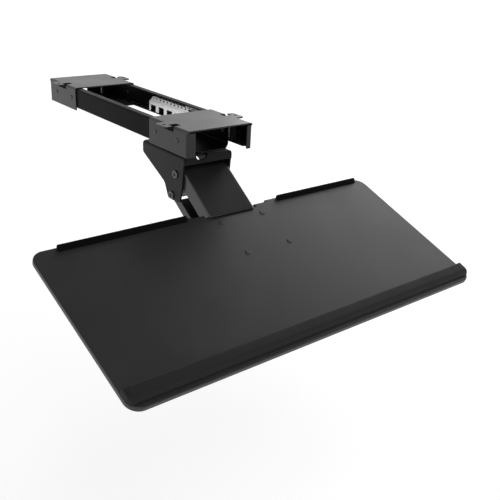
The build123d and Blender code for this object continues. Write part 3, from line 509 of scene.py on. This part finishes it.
def palm_blank():
    """Closed mesh of the rest on the tray frame, drawn in at both ends along the tray's round corners."""
    bm = bmesh.new()
    section = palm_section() + [(PALM_DEPTH * share, 0.0) for share in (0.75, 0.5, 0.25)]
    length = TRAY_WIDTH - 2 * PALM_EDGE_GAP
    front = HINGE_SETBACK - TRAY_DEPTH + PALM_FRONT_GAP
    start = TRAY_OFFSET - length / 2
    ends = [PALM_CORNER * (1 - math.cos(turn)) for turn in quarter_turn(PALM_CORNER_STEPS)]
    count = int((length - 2 * PALM_CORNER) / PALM_SPACING)
    inner = [PALM_CORNER + (length - 2 * PALM_CORNER) * step / count for step in range(1, count)]
    loops = []
    for x in ends + inner + [length - x for x in reversed(ends)]:
        edge = min(x, length - x)
        corner = PALM_CORNER - math.sqrt(PALM_CORNER ** 2 - max(0.0, PALM_CORNER - edge) ** 2)
        drawn_in = max(0.0, corner - (PALM_FRONT_GAP - PALM_EDGE_GAP))
        rise = math.sqrt(max(PALM_END_LEAST, 1 - max(0.0, 1 - edge / PALM_END_ROUND) ** 2))
        share = (PALM_DEPTH - drawn_in) / PALM_DEPTH
        loop = []
        for depth, height in section:
            loop.append(bm.verts.new((start + x, front + drawn_in + depth * share, height * rise)))
        loops.append(loop)
    join_loops(bm, loops)
    bm.faces.new(loops[0])
    bm.faces.new(reversed(loops[-1]))
    bmesh.ops.recalc_face_normals(bm, faces=bm.faces)
    return bm


def palm_rest(finishes):
    """The padded rest: a closed form, remeshed and filled by a short cloth run with its base held."""
    bm = palm_blank()
    mesh = bpy.data.meshes.new("palm_pad")
    bm.to_mesh(mesh)
    bm.free()
    pad = bpy.data.objects.new("palm_pad", mesh)
    bpy.context.scene.collection.objects.link(pad)
    remesh = pad.modifiers.new("even", "REMESH")
    remesh.mode = "VOXEL"
    remesh.voxel_size = PALM_STEP
    apply_modifiers(pad)
    fill_with_cloth(pad)
    smooth = pad.modifiers.new("settle", "SMOOTH")
    smooth.factor = 0.5
    smooth.iterations = 1
    apply_modifiers(pad)
    finer = pad.modifiers.new("finer", "SUBSURF")
    finer.levels = 1
    finer.render_levels = 1
    pad.data.transform(tray_frame())
    pad.data.shade_smooth()
    pad.data.materials.clear()
    pad.data.materials.append(finishes["palm_cover"])
    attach(pad, "tray")
    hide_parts("palm_rest")


def fill_with_cloth(pad):
    """Swells the pad a little with air pressure, its base glued down, and caps how far a point moves."""
    rest = [vertex.co.copy() for vertex in pad.data.vertices]
    glued = pad.vertex_groups.new(name="glued")
    glued.add([i for i, place in enumerate(rest) if place.z < PALM_STEP], 1.0, "REPLACE")
    cloth = pad.modifiers.new("cloth", "CLOTH")
    cloth.settings.vertex_group_mass = "glued"
    cloth.settings.use_pressure = True
    cloth.settings.uniform_pressure_force = PALM_PRESSURE
    cloth.settings.mass = PALM_CLOTH_MASS
    cloth.settings.effector_weights.gravity = 0.0
    cloth.collision_settings.use_collision = False
    cloth.point_cache.frame_end = PALM_FRAMES
    scene = bpy.context.scene
    for step in range(1, PALM_FRAMES + 1):
        scene.frame_set(step)
    apply_modifiers(pad)
    scene.frame_set(1)
    moved = 0.0
    for vertex, start in zip(pad.data.vertices, rest):
        shift = vertex.co - start
        moved = max(moved, shift.length)
        if shift.length > PALM_SWELL:
            vertex.co = start + shift * (PALM_SWELL / shift.length)
    print(f"palm rest cloth moved up to {moved * 1000:.2f} mm, capped at {PALM_SWELL * 1000:.2f} mm")


# Stage, light and camera

def seen_rays(tree):
    """1 for rays that see the backdrop: from the camera, and on through gloss or glass."""
    path = add_node(tree, "ShaderNodeLightPath")
    first = add_node(
        tree, "ShaderNodeMath", {0: path.outputs["Is Camera Ray"], 1: path.outputs["Is Glossy Ray"]},
        operation="MAXIMUM",
    )
    both = add_node(
        tree, "ShaderNodeMath", {0: first.outputs["Value"], 1: path.outputs["Is Transmission Ray"]},
        operation="MAXIMUM",
    )
    return both.outputs["Value"]


def make_floor():
    """A plain pale floor, as under a desk, that shows white and keeps the object's soft shadow."""
    mesh = bpy.data.meshes.new("floor")
    quarters = ((-1, -1), (1, -1), (1, 1), (-1, 1))
    corners = [(FLOOR_REACH * across, FLOOR_REACH * along, FLOOR_LEVEL) for across, along in quarters]
    mesh.from_pydata(corners, [], [(0, 1, 2, 3)])
    floor = bpy.data.objects.new("floor", mesh)
    bpy.context.scene.collection.objects.link(floor)
    material = bpy.data.materials.new("floor_paint")
    material.use_nodes = True
    tree = material.node_tree
    shader = tree.nodes["Principled BSDF"]
    shader.inputs["Base Color"].default_value = FLOOR_COLOUR
    shader.inputs["Roughness"].default_value = 0.9
    shader.inputs["Emission Color"].default_value = (1, 1, 1, 1)
    place = add_node(tree, "ShaderNodeTexCoord").outputs["Object"]
    away = add_node(tree, "ShaderNodeVectorMath", {0: place}, operation="LENGTH").outputs["Value"]
    level = spread(tree, away, FLOOR_GLOW_NEAR, FLOOR_GLOW_FAR, FLOOR_NEAR, FLOOR_FAR)
    glow = add_node(tree, "ShaderNodeMath", {0: seen_rays(tree), 1: level}, operation="MULTIPLY")
    tree.links.new(glow.outputs["Value"], shader.inputs["Emission Strength"])
    mesh.materials.append(material)


def make_world():
    """White backdrop all round, darker overhead in reflections, and an even soft light."""
    world = bpy.data.worlds.new("studio")
    bpy.context.scene.world = world
    world.use_nodes = True
    tree = world.node_tree
    background = tree.nodes["Background"]
    background.inputs["Color"].default_value = (1, 1, 1, 1)
    direction = add_node(tree, "ShaderNodeTexCoord").outputs["Generated"]
    height = add_node(tree, "ShaderNodeSeparateXYZ", {"Vector": direction}).outputs["Z"]
    backdrop = spread(tree, height, 1.0, CEILING_LIGHT, start=CEILING_START, stop=CEILING_STOP)
    path = add_node(tree, "ShaderNodeLightPath").outputs["Is Camera Ray"]
    seen = add_node(tree, "ShaderNodeMath", {0: path, 1: backdrop}, operation="MAXIMUM").outputs["Value"]
    wanted = {"Value": seen_rays(tree), "To Min": WORLD_LIGHT}
    strength = add_node(tree, "ShaderNodeMapRange", wanted)
    tree.links.new(seen, strength.inputs["To Max"])
    tree.links.new(strength.outputs["Result"], background.inputs["Strength"])


def soft_lamp(name, place, size, power):
    """A large square soft box at a place, turned to the middle of the object."""
    light = bpy.data.lights.new(name, "AREA")
    light.shape = "SQUARE"
    light.size = size
    light.energy = power
    lamp = bpy.data.objects.new(name, light)
    lamp.location = place
    lamp.rotation_mode = "QUATERNION"
    lamp.rotation_quaternion = (Vector(LAMP_AIM) - Vector(place)).to_track_quat("-Z", "Y")
    bpy.context.scene.collection.objects.link(lamp)


def make_camera():
    """The photograph's view, with the fitted place, turn and focal length."""
    forward = Vector((
        math.sin(CAMERA_YAW) * math.cos(CAMERA_PITCH),
        math.cos(CAMERA_YAW) * math.cos(CAMERA_PITCH),
        -math.sin(CAMERA_PITCH),
    ))
    level = Vector((math.cos(CAMERA_YAW), -math.sin(CAMERA_YAW), 0))
    upright = level.cross(forward)
    right = math.cos(CAMERA_ROLL) * level + math.sin(CAMERA_ROLL) * upright
    up = -math.sin(CAMERA_ROLL) * level + math.cos(CAMERA_ROLL) * upright
    data = bpy.data.cameras.new("camera")
    data.sensor_width = SENSOR_WIDTH_MM
    data.lens = FOCAL_LENGTH_PX / PHOTO_SIZE_PX * SENSOR_WIDTH_MM
    data.clip_start = 0.05
    data.clip_end = 60.0
    camera = bpy.data.objects.new("camera", data)
    turn = Matrix((right, up, -forward)).transposed().to_4x4()
    camera.matrix_world = Matrix.Translation(CAMERA_PLACE) @ turn
    bpy.context.scene.collection.objects.link(camera)
    bpy.context.scene.camera = camera


finishes = make_finishes()
dress_nodes(finishes)
for node, body in PINS.items():
    pivot_pin(node, body, finishes["pin_steel"])
tie_plate(finishes)
palm_rest(finishes)
make_floor()
make_world()
for lamp_name, place, size, power in LAMPS:
    soft_lamp(lamp_name, place, size, power)
make_camera()
bpy.context.scene.view_settings.view_transform = "Standard"
